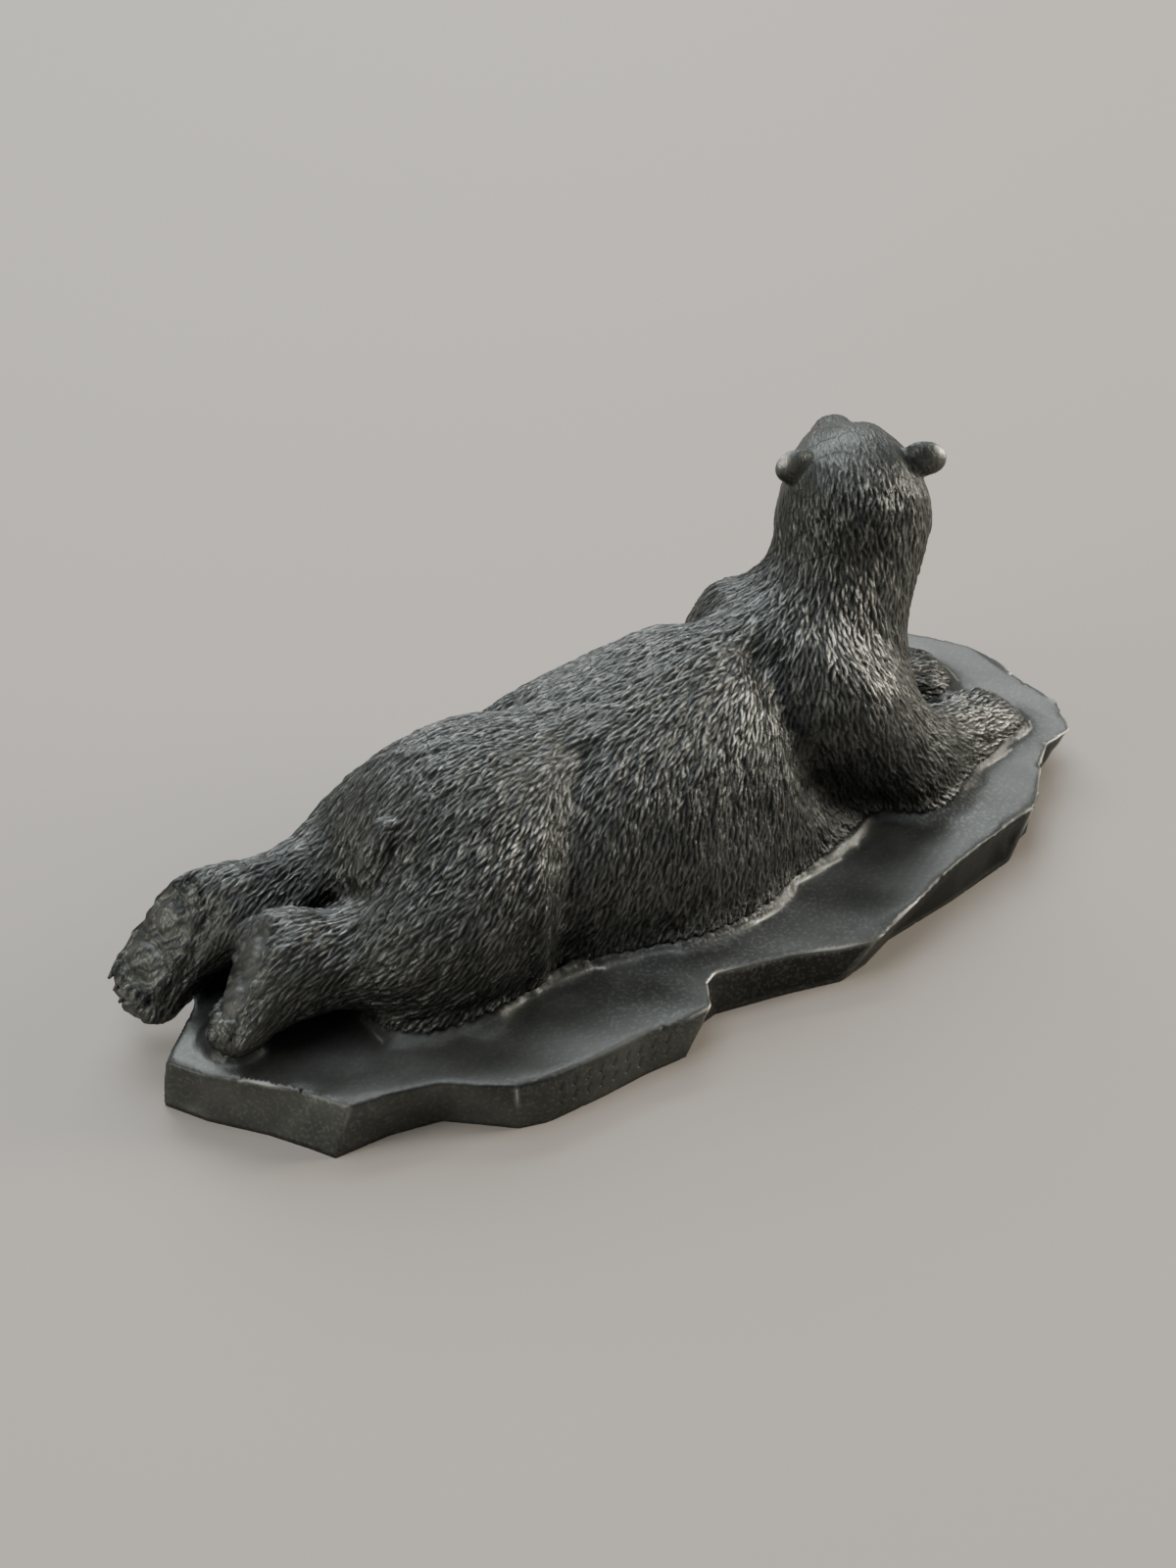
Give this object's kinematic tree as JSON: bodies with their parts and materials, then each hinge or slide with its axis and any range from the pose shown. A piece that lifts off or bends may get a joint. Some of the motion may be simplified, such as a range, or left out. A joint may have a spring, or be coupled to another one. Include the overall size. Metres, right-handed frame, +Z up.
{
  "type": "polar bear figurine",
  "caption": "Small cast-metal polar bear stretched out on an ice floe with its head turned back over its shoulder, a desk ornament or paperweight.",
  "frame": {"origin": "centre of the underside's bounding rectangle, on the surface that the casting rests on", "axes": "+X towards the bear's head end, +Y to the bear's left, +Z up"},
  "size_m": [0.1682, 0.0792, 0.0648],
  "materials": {
    "patinated_metal": "cast white metal with a dark blue-grey patina, rubbed lighter on the raised fur and bare along the sharp edges"
  },
  "bodies": {
    "root": {"bear_on_ice_floe": "patinated_metal"}
  },
  "joints": []
}
